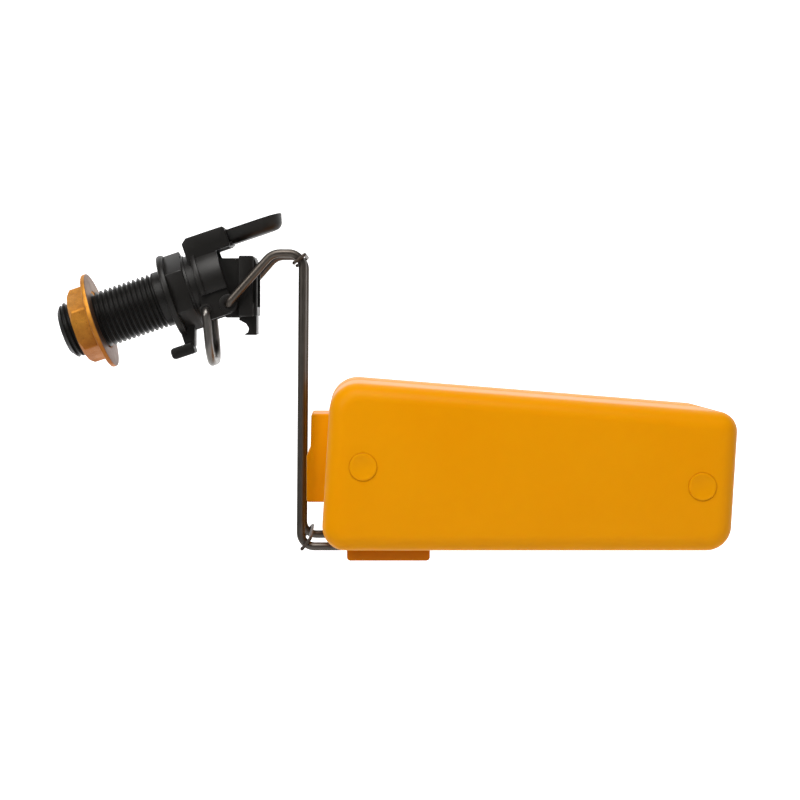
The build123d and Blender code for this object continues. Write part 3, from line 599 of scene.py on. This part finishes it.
class BuildBody(bpy.types.Operator):
    """Threaded shank, flange, hexagon, barrel and foot, one black moulding."""

    bl_idname = "float_valve.body"
    bl_label = "Valve body"

    def execute(self, context):
        shank, sizes = context.scene.shank, context.scene.body
        low, high = (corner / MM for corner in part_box("valve_body"))
        neck, barrel = shank.neck / MM, sizes.barrel_radius / MM
        hex_from = sizes.flange_thickness / MM
        hex_to = hex_from + sizes.hexagon_length / MM
        edge = sizes.edge / MM

        body = self.core(shank, low.x, high.x, neck, barrel)
        flange = sizes.flange_radius / MM
        rim = turned("rim", ((0, 0), (0, flange), (hex_from, flange), (hex_from, 0)), edge=0.75)
        nut = hexagon("nut", sizes.hexagon / MM, hex_from - 0.4, hex_to, 0, 0.45)
        step, collar_end = barrel + 0.45, hex_to + 0.9
        collar = turned(
            "collar", ((hex_to - 1, 0), (hex_to - 1, step), (collar_end, step), (collar_end, 0)), edge
        )
        thread = self.thread(shank, low.x, neck)
        combine(body, thread, rim, nut, collar, *self.foot(low.z, edge))
        combine(body, *self.waterways(shank.bore / MM, low.x, high.x, hex_to - 1), how="DIFFERENCE")
        x, z = BAIL_PIVOT.x / MM, BAIL_PIVOT.z / MM
        for side in (-1, 1):
            combine(body, pin("hole", x, z, WIRE_HOLE, side * 6.3, side * 14), how="DIFFERENCE")
        finish_piece(body, "moulded_body", black_material(context), "valve", ["valve_body"])
        return {"FINISHED"}

    def core(self, shank, from_x, to_x, neck, barrel):
        """The shank under its thread, the smooth neck and the barrel."""
        mouth, chamfer = 0.9, 0.5
        root = (shank.radius - shank.depth) / MM
        under, smooth = root - 0.05, shank.radius / MM + 0.02
        return turned(
            "core",
            (
                (from_x, 0), (from_x, root - mouth), (from_x + mouth, under), (-neck, under), (-neck, smooth),
                (0.5, smooth), (0.5, barrel), (to_x - chamfer, barrel), (to_x, barrel - chamfer), (to_x, 0),
            ),
        )

    def thread(self, shank, from_x, neck):
        """The helix, which fades in at the mouth and out under the neck."""
        crest, root = shank.radius / MM, (shank.radius - shank.depth) / MM
        thread = helix("thread", from_x + 0.8, -neck + 0.4, crest, root, shank.pitch / MM, shank.steps)
        lead = turned(
            "lead",
            (
                (from_x, 0), (from_x, root - 0.5), (from_x + 2.2, crest + 0.3), (-neck - 0.5, crest + 0.3),
                (-neck + 0.5, crest - 0.5), (-neck + 0.5, 0),
            ),
        )
        return combine(thread, lead, how="INTERSECT")

    def foot(self, floor, edge):
        """Web and gusset under the hexagon, and the bar across their foot."""
        top, bar_top = -12.5, floor + 4.3
        web = plate(
            "web",
            ((0.05, top), (5.8, top), (5.8, top - 1), (3.3, floor + 2.2), (0.05, floor + 2.2)),
            -3.7, 3.7, edge,
        )
        gusset = plate("gusset", ((1.6, top), (8.0, top), (7.6, top - 1.1), (1.6, -17.2)), -1.1, 1.1, edge)
        bar = plate(
            "bar",
            ((-5.8, floor, 1.5), (3.0, floor, 0.8), (3.0, bar_top, 0.8), (-5.8, bar_top, 1.5)),
            -4.5, 4.5, 0.6,
        )
        return web, gusset, bar

    def waterways(self, bore, from_x, to_x, throat_x):
        """The inlet bore down to the nozzle's seat, and the round recess in the barrel's face."""
        throat, socket, socket_x = 2.9, 3.92, 10.0
        way_in = turned(
            "way_in",
            (
                (from_x - 1, 0), (from_x - 1, bore + 1.7), (from_x + 0.7, bore), (4.4, bore),
                (throat_x, throat), (socket_x, throat), (socket_x, socket), (to_x + 1, socket), (to_x + 1, 0),
            ),
        )
        outer, inner = 10.4, 7.2
        relief = turned("relief", ((to_x - 3, 0), (to_x - 3, outer), (to_x + 1, outer), (to_x + 1, 0)), 0.3)
        boss = turned("boss", ((to_x - 4, 0), (to_x - 4, inner), (to_x + 2, inner), (to_x + 2, 0)))
        return way_in, combine(relief, boss, how="DIFFERENCE")


class BuildBacknut(bpy.types.Operator):
    """Cast brass nut with a round flange and a threaded bore."""

    bl_idname = "float_valve.backnut"
    bl_label = "Backnut"

    def execute(self, context):
        shank = context.scene.shank
        low, high = (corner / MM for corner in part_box("backnut"))
        flange_back = high.x - 1.7
        cone_back = flange_back - 0.7
        flange = turned(
            "flange",
            ((cone_back, 0), (cone_back, 15.2), (flange_back, high.z), (high.x, high.z), (high.x, 0)),
            edge=0.45,
        )
        nut = hexagon("nut", NUT_ACROSS, low.x, flange_back + 0.4, NUT_TURN, 0.5)
        corner, front = NUT_ACROSS / math.sqrt(3), flange_back + 1
        chamfer = turned(
            "chamfer",
            (
                (low.x, 0), (low.x, corner - 1.9), (low.x + 1.5, corner - 0.05), (front, corner + 0.2),
                (front, 0),
            ),
            edge=0.35,
        )
        combine(flange, combine(nut, chamfer, how="INTERSECT"))
        hole = shank.radius / MM + 0.06
        pitch = shank.pitch / MM
        thread = helix("thread", low.x - 1, high.x + 1, hole, hole + 0.75, pitch, shank.steps)
        lead_in, wide = 0.9, hole + 2.9
        relief = turned(
            "relief",
            (
                (low.x - 2, 0), (low.x - 2, wide), (low.x + lead_in, hole), (high.x - lead_in, hole),
                (high.x + 2, wide), (high.x + 2, 0),
            ),
        )
        combine(flange, thread, relief, how="DIFFERENCE")
        finishes = context.scene.finishes
        brass = material("cast_brass", cast_brass, tuple(finishes.brass), tuple(finishes.faced), high.x * MM)
        finish_piece(flange, "flanged_nut", brass, "nut", ["backnut"])
        return {"FINISHED"}


class BuildBracket(bpy.types.Operator):
    """Yoke over the barrel, with a box on top and two cheeks that hold the arm and the bail."""

    bl_idname = "float_valve.bracket"
    bl_label = "Arm bracket"

    def execute(self, context):
        low, high = (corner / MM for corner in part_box("arm_bracket"))
        inner = context.scene.body.barrel_radius / MM + 0.1
        band_to, cheek = 22.4, 12.3
        pivot_x, pivot_z = PIVOT.x / MM, PIVOT.z / MM
        bail_x, bail_z = BAIL_PIVOT.x / MM, BAIL_PIVOT.z / MM

        bracket = self.band(inner + 1.35, low.x + 1.2, band_to)
        box = plate(
            "box",
            (
                (low.x, 0), (band_to, 0), (band_to, 10.3, 0.4), (high.x, 10.3, 0.5), (high.x, high.z, 1.0),
                (low.x + 2.0, high.z, 0.6), (low.x, high.z - 1.6, 0.6),
            ),
            -9.6, 9.6, 0.45, 3,
        )
        foot, lobe = -13.4, pivot_x + 3.3
        cheeks = plate(
            "cheeks",
            (
                (low.x, 2), (low.x, foot, 1.4), (pivot_x, foot, 0.5), (lobe, foot + 2, 1.6),
                (lobe, pivot_z + 1.5, 1.6), (band_to, pivot_z + 3.0, 0.5), (band_to, 2),
            ),
            -cheek, cheek, 0.35,
        )
        ear = pin("ear", pivot_x, pivot_z, 3.4, -cheek - 0.35, cheek + 0.35, edge=0.25)
        seat = pin("seat", bail_x, bail_z, 2.5, -cheek - 0.2, cheek + 0.2, edge=0.15)
        combine(bracket, box, cheeks, ear, seat)
        inside = turned("inside", ((-20, 0), (-20, inner), (60, inner), (60, 0)))
        between = plate("between", ((-10, 0), (50, 0), (50, -40), (-10, -40)), -9, 9, 0)
        combine(bracket, inside, between, how="DIFFERENCE")
        for x, z in ((pivot_x, pivot_z), (bail_x, bail_z)):
            combine(bracket, pin("hole", x, z, WIRE_HOLE, -THROUGH, THROUGH), how="DIFFERENCE")
        finish_piece(bracket, "bracket", black_material(context), "valve", ["arm_bracket"])
        return {"FINISHED"}

    def band(self, outer, from_x, to_x):
        """The round band with a rib along its back edge, cut off below the cheeks' tops."""
        rib, rib_to = outer + 0.9, from_x + 1.9
        band = turned("band", ((from_x, 0), (from_x, outer), (to_x, outer), (to_x, 0)), edge=0.3)
        ring = turned("rib", ((from_x, 0), (from_x, rib), (rib_to, rib), (rib_to, 0)), edge=0.35)
        below = plate("below", ((-10, -4), (50, -4), (50, -60), (-10, -60)), -40, 40, 0)
        return combine(combine(band, ring), below, how="DIFFERENCE")


class BuildThumbTab(bpy.types.Operator):
    """Dished tab with a round tip and a tapered underside."""

    bl_idname = "float_valve.thumb_tab"
    bl_label = "Thumb tab"

    def execute(self, context):
        low, high = (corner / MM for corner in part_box("thumb_tab"))
        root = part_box("arm_bracket")[1].x / MM
        wide, narrow, tip_taper = 8.0, 5.0, 1.5
        back = root - 1
        at_back = Matrix.Translation((-back * MM, 0, 0))
        bm = bmesh.new()
        corners = ((back, -wide), (high.x, -wide), (high.x, wide), (back, wide))
        verts = [bm.verts.new((x * MM, y * MM, high.z * MM)) for x, y in corners]
        bm.faces.new(verts)
        corner_rounds(bm, verts, (0, wide * 0.98, wide * 0.98, 0), 14)
        floor = draw_out(bm, (0, 0, (low.z - high.z) * MM))
        reach = (high.x - tip_taper - back) / (high.x - back)
        bmesh.ops.scale(bm, verts=floor, vec=(reach, narrow / wide, 1), space=at_back)
        rim = [edge for edge in bm.edges if all(vert in floor for vert in edge.verts)]
        bevel(bm, rim, 2.2 * MM, 6)
        self.dish(bm)
        soften(bm, 0.7 * MM, 3, angle=35)
        tab = solid("tab", bm)
        lip_floor, lip_top, lip_to = low.z - 0.4, low.z + 1.0, root + 0.9
        lip = plate(
            "lip",
            ((back, lip_floor), (lip_to, lip_floor, 0.2), (lip_to, lip_top, 0.2), (back, lip_top)),
            -6.2, 6.2, 0.2,
        )
        combine(tab, lip)
        finish_piece(tab, "dished_tab", black_material(context), "valve", ["thumb_tab"])
        return {"FINISHED"}

    def dish(self, bm):
        """Sinks the top inside a narrow rim, with sides that slope in."""
        top = max(bm.faces, key=lambda face: face.normal.z * face.calc_area())
        bmesh.ops.inset_region(bm, faces=[top], thickness=1.5 * MM, depth=0)
        dish = bmesh.ops.extrude_face_region(bm, geom=[top])["geom"]
        bottom = [item for item in dish if isinstance(item, bmesh.types.BMVert)]
        bmesh.ops.delete(bm, geom=[top], context="FACES_ONLY")
        middle = sum((vert.co for vert in bottom), Vector()) / len(bottom)
        at_middle = Matrix.Translation((-middle.x, 0, 0))
        bmesh.ops.translate(bm, verts=bottom, vec=(0, 0, -3.2 * MM))
        bmesh.ops.scale(bm, verts=bottom, vec=(0.90, 0.72, 1), space=at_middle)


class BuildRocker(bpy.types.Operator):
    """Block between the arm's legs, with a hollow face, a slot in each side, two ears and a hook."""

    bl_idname = "float_valve.rocker"
    bl_label = "Rocker"

    def execute(self, context):
        foot, top = -4.7, 17.5
        block = plate(
            "block", ((3.7, foot, 0.5), (9.0, foot, 0.5), (9.0, top, 0.6), (3.7, top, 0.6)), -11.8, 11.8, 0.35
        )
        core = plate(
            "core",
            ((3.9, -4.6), (10.3, -4.6, 0.4), (10.3, 14.1, 0.4), (9.0, 17.4, 0.8), (3.9, 17.4)),
            -10.0, 10.0, 0.3,
        )
        hook_tip = -11.6
        hook = plate(
            "hook",
            (
                (3.4, -6.0, 0.3), (6.0, -7.4, 0.8), (7.1, -9.1, 1.0), (6.7, -10.6, 0.4), (5.5, -11.2, 0.2),
                (5.8, hook_tip, 0.2), (9.9, hook_tip, 0.3), (9.9, foot + 1), (3.7, foot + 1), (3.7, foot),
            ),
            -6.5, 6.5, 0.25,
        )
        combine(block, core, hook)
        ear_top, heel_foot = 3.3, -5.2
        for side in (-1, 1):
            near, far = sorted((side * 5.0, side * 8.7))
            ear = pin("ear", 0, 0, ear_top, near, far, edge=0.25)
            heel = plate(
                "heel",
                ((-2.0, 0), (-2.0, heel_foot, 1.4), (4.6, heel_foot, 0.8), (4.6, ear_top), (0, ear_top)),
                near, far, 0.25,
            )
            combine(block, ear, heel)
        combine(block, *self.hollows(), how="DIFFERENCE")
        finish_piece(block, "rocker_block", black_material(context), "arm", ["rocker"], ARM)
        return {"FINISHED"}

    def hollows(self):
        """The pocket in the face, the carrier's socket, a blind slot in each side and the pivot's hole."""
        pocket = plate(
            "pocket",
            ((5.5, -1.3, 0.6), (11.3, -1.3), (11.3, 13.7), (9.6, 13.7), (5.5, 15.7, 0.6)),
            -8.2, 8.2, 0,
        )
        socket = plate("socket", ((3.0, 6.73), (6.0, 6.73), (6.0, 12.77), (3.0, 12.77)), -3.02, 3.02, 0)
        slot = ((8.75, 0.2, 0.3), (9.75, 0.2, 0.3), (9.75, 12.6, 0.3), (8.75, 12.6, 0.3))
        near_slot, far_slot = plate("slot", slot, -13, -8.45, 0), plate("slot", slot, 8.45, 13, 0)
        return pocket, socket, near_slot, far_slot, pin("hole", 0, 0, 1.52, -14, 14)


class BuildFloat(bpy.types.Operator):
    """Two hollow halves, welded along the middle, with a tab between the arm's legs."""

    bl_idname = "float_valve.float"
    bl_label = "Float"

    def execute(self, context):
        sizes = context.scene.float_sizes
        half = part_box("float_shell_near")[0].y / MM
        floor, tab_top, tab_foot = -87.9, -40.4, -72.7
        outline = ((33.9, floor, 8.5), (179.2, floor, 9.0), (182.3, -39.0, 7.0), (37.5, -27.5, 10.5))
        tab_outline = (
            (38.5, tab_top), (30.1, tab_top, 0.9), (29.8, -53.0, 1.5), (28.4, -55.8, 1.5),
            (28.4, tab_foot, 0.9), (37.5, tab_foot),
        )
        ring_radius = sizes.plug_radius / MM + 0.15
        for side, node in ((1, "near"), (-1, "far")):
            shell = self.half_shell(outline, half, sizes.edge, sizes.seam)
            combine(shell, plate("tab", tab_outline, half + 21, 0, 0.6, 3))
            for x, z in FLOAT_PLUGS.values():
                ring = pin("ring", x, z, ring_radius, half - 1, half + 0.3, 64)
                combine(shell, ring, how="DIFFERENCE")
            if side < 0:
                shell.data.transform(Matrix.Scale(-1, 4, (0, 1, 0)))
                shell.data.flip_normals()
            finish_piece(
                shell, f"float_half_{node}", orange_material(context), "arm",
                [f"float_shell_{node}"], ARM,
            )
        return {"FINISHED"}

    def half_shell(self, outline, half, edge, seam):
        """The near half: a flat face at the weld, drawn out to its side face with a deep round rim."""
        bm = bmesh.new()
        verts = [bm.verts.new((x * MM, 0, z * MM)) for x, z, _ in outline]
        bm.faces.new(verts)
        corner_rounds(bm, verts, [radius for _, _, radius in outline], 14)
        draw_out(bm, (0, half * MM, 0))
        for y, width, segments in ((half * MM, edge, 10), (0, seam, 2)):
            rim = [item for item in bm.edges if all(abs(vert.co.y - y) < 10 * WELD for vert in item.verts)]
            bevel(bm, rim, width, segments, clamp=False)
        return solid("shell", bm)


class BuildPlugs(bpy.types.Operator):
    """Four round plugs in the float's side faces."""

    bl_idname = "float_valve.plugs"
    bl_label = "Float plugs"

    def execute(self, context):
        radius = context.scene.float_sizes.plug_radius
        seat, proud = 29.2 * MM, 31.35 * MM
        upright = Matrix.Rotation(math.pi / 2, 4, "X")
        for end, (x, z) in FLOAT_PLUGS.items():
            for side, node in ((-1, "near"), (1, "far")):
                name = f"plug_{end}_{node}"
                bm = bmesh.new()
                face_on = Matrix.Translation((x * MM, side * seat, z * MM)) @ upright
                bmesh.ops.create_circle(bm, cap_ends=True, segments=64, radius=radius, matrix=face_on)
                draw_out(bm, (0, side * (proud - seat), 0))
                soften(bm, 0.2 * MM, 3)
                lid = max(bm.faces, key=lambda face: face.calc_center_median().y * side)
                bmesh.ops.inset_region(bm, faces=[lid], thickness=0.9 * MM, depth=0)
                bmesh.ops.inset_region(bm, faces=[lid], thickness=0.25 * MM, depth=-0.09 * MM)
                finish_piece(
                    solid(name, bm), f"{name}_disc", orange_material(context), "arm",
                    [name], ARM,
                )
        return {"FINISHED"}


class BuildClip(bpy.types.Operator):
    """Saddle under the float that holds the arm's wires, with grooves across its underside."""

    bl_idname = "float_valve.clip"
    bl_label = "Float clip"

    def execute(self, context):
        top, floor = -87.92, -92.72
        front, back = 43.2, 73.1
        saddle = plate(
            "saddle",
            ((front, floor, 1.3), (back, floor, 1.3), (back, top), (front, top)),
            -18.5, 18.5, 0.5, 3,
        )
        for x in (50.0, 58.15, 66.3):
            below, depth, foot, head = floor - 1, floor + 0.9, 1.6, 1.3
            groove = plate(
                "groove",
                ((x - foot, below), (x + foot, below), (x + head, depth, 0.3), (x - head, depth, 0.3)),
                -13.5, 13.5, 0,
            )
            combine(saddle, groove, how="DIFFERENCE")
        for y in (-14.5, 14.5):
            slot = plate("slot", ((40, -89.3), (80, -89.3), (80, -86), (40, -86)), y - 1.55, y + 1.55, 0)
            combine(saddle, slot, how="DIFFERENCE")
        # The clip's darker orange is painted shade from the float above it
        orange = material("saddle_polyethylene", float_plastic, tuple(context.scene.finishes.saddle), 0.40)
        finish_piece(saddle, "wire_saddle", orange, "arm", ["float_clip"], ARM)
        return {"FINISHED"}


class FinishWires(bpy.types.Operator):
    """Arm, bail and cross ties: drawn wire that keeps its frame shape."""

    bl_idname = "float_valve.wires"
    bl_label = "Wires"

    def execute(self, context):
        finishes = context.scene.finishes
        steel = material("drawn_steel", drawn_wire, tuple(finishes.steel), 0.30)
        tie = material("tie_steel", drawn_wire, tuple(finishes.tie), 0.36)
        finish_node("arm_frame", steel)
        # The bail's lighter steel is painted light, not a different wire
        finish_node("retaining_bail", material("bail_steel", drawn_wire, tuple(finishes.bright), 0.26))
        for name in ("upper_tie", "lower_tie"):
            finish_node(name, tie)
        return {"FINISHED"}


class FinishInsides(bpy.types.Operator):
    """Nozzle, its ring, the pad and the pad's carrier keep their frame shapes."""

    bl_idname = "float_valve.insides"
    bl_label = "Nozzle and pad"

    def execute(self, context):
        finishes = context.scene.finishes
        rubber = material("seal_rubber", soft_rubber, tuple(finishes.rubber))
        finish_node("seat_nozzle", material("turned_brass", machined_brass, tuple(finishes.jet)))
        finish_node("nozzle_o_ring", rubber)
        finish_node("valve_pad", rubber)
        finish_node("pad_carrier", black_material(context))
        return {"FINISHED"}


class BuildStage(bpy.types.Operator):
    """Pale curved backdrop, soft studio light and the camera."""

    bl_idname = "float_valve.stage"
    bl_label = "Stage"

    def execute(self, context):
        self.backdrop()
        self.lights(context)
        self.camera(context)
        return {"FINISHED"}

    def backdrop(self):
        """A floor that curves up into a wall, well below and behind the object."""
        floor_z, wall_y, half_width = frame_box[0].z - 0.20, 1.2, 4
        bm = bmesh.new()
        corners = ((-3, floor_z), (wall_y, floor_z), (wall_y, 3.5))
        side = [bm.verts.new((-half_width, y, z)) for y, z in corners]
        for pair in zip(side, side[1:]):
            bm.edges.new(pair)
        bevel(bm, [side[1]], 0.9, 24, affect="VERTICES", clamp=False)
        drawn = bmesh.ops.extrude_edge_only(bm, edges=bm.edges[:])["geom"]
        moved = [item for item in drawn if isinstance(item, bmesh.types.BMVert)]
        bmesh.ops.translate(bm, verts=moved, vec=(2 * half_width, 0, 0))
        backdrop = solid("backdrop", bm)
        backdrop.data.materials.append(pale_stage("backdrop_white"))
        backdrop.data.shade_smooth()

    def lights(self, context):
        """Three square lamps round the object, each at an offset from its middle, and a faint world."""
        aim = (frame_box[0] + frame_box[1]) / 2
        warm, cool = (1.0, 0.985, 0.96), (0.78, 0.85, 1.0)
        for name, offset, size, power, tint in (
            ("key_softbox", UP * 0.80 + RIGHT * -0.10 + Vector((0, -0.50, 0)), 0.55, 7.2, warm),
            ("left_fill", UP * 0.55 + RIGHT * -0.85 + Vector((0, -0.85, 0)), 0.5, 5.5, warm),
            ("cool_bounce", RIGHT * 0.80 + UP * -0.35 + Vector((0, -0.20, 0)), 0.5, 1.1, cool),
        ):
            light = bpy.data.lights.new(name, "AREA")
            light.shape = "SQUARE"
            light.size = size
            light.energy = power
            light.color = tint
            lamp = bpy.data.objects.new(name, light)
            lamp.location = aim + offset
            lamp.rotation_euler = (-offset).to_track_quat("-Z", "Y").to_euler()
            context.scene.collection.objects.link(lamp)
        world = bpy.data.worlds.new("studio")
        world.use_nodes = True
        background = world.node_tree.nodes["Background"]
        background.inputs["Color"].default_value = (1.0, 1.0, 1.0, 1.0)
        background.inputs["Strength"].default_value = 0.08
        context.scene.world = world
        context.scene.view_settings.view_transform = "Standard"

    def camera(self, context):
        """Looks straight along Y. A small lens shift keeps the object's uprights parallel."""
        camera = bpy.data.cameras.new("camera")
        camera.sensor_width = 36.0
        camera.lens = 65.2
        camera.shift_x = 0.061
        camera.shift_y = -0.110
        camera.clip_start = 0.01
        eye = bpy.data.objects.new("camera", camera)
        turn = Matrix((RIGHT, UP, Vector((0, -1, 0)))).transposed().to_4x4()
        eye.matrix_world = Matrix.Translation((0.0623, -0.540, -0.0270)) @ turn
        context.scene.collection.objects.link(eye)
        context.scene.camera = eye


class FloatValvePanel(bpy.types.Panel):
    """Lists the pieces and the values that they are made from."""

    bl_idname = "VIEW3D_PT_float_valve"
    bl_label = "Float Valve"
    bl_space_type = "VIEW_3D"
    bl_region_type = "UI"
    bl_category = "Float Valve"

    def draw(self, context):
        layout = self.layout
        for group in GROUPS:
            values = getattr(context.scene, group)
            for name in values.__annotations__:
                layout.prop(values, name)
        for operator in OPERATORS:
            layout.operator(operator.bl_idname)


GROUPS = {"shank": ShankSizes, "body": BodySizes, "float_sizes": FloatSizes, "finishes": Finishes}
OPERATORS = (
    BuildBody, BuildBacknut, BuildBracket, BuildThumbTab, BuildRocker, BuildFloat, BuildPlugs, BuildClip,
    FinishWires, FinishInsides, BuildStage,
)


def register():
    for group in (*GROUPS.values(), *OPERATORS, FloatValvePanel):
        bpy.utils.register_class(group)
    for name, group in GROUPS.items():
        setattr(bpy.types.Scene, name, PointerProperty(type=group))


def unregister():
    for name in GROUPS:
        delattr(bpy.types.Scene, name)
    for group in reversed((*GROUPS.values(), *OPERATORS, FloatValvePanel)):
        bpy.utils.unregister_class(group)


def main():
    register()
    for operator in OPERATORS:
        group, name = operator.bl_idname.split(".")
        getattr(getattr(bpy.ops, group), name)()


if __name__ == "__main__":
    main()
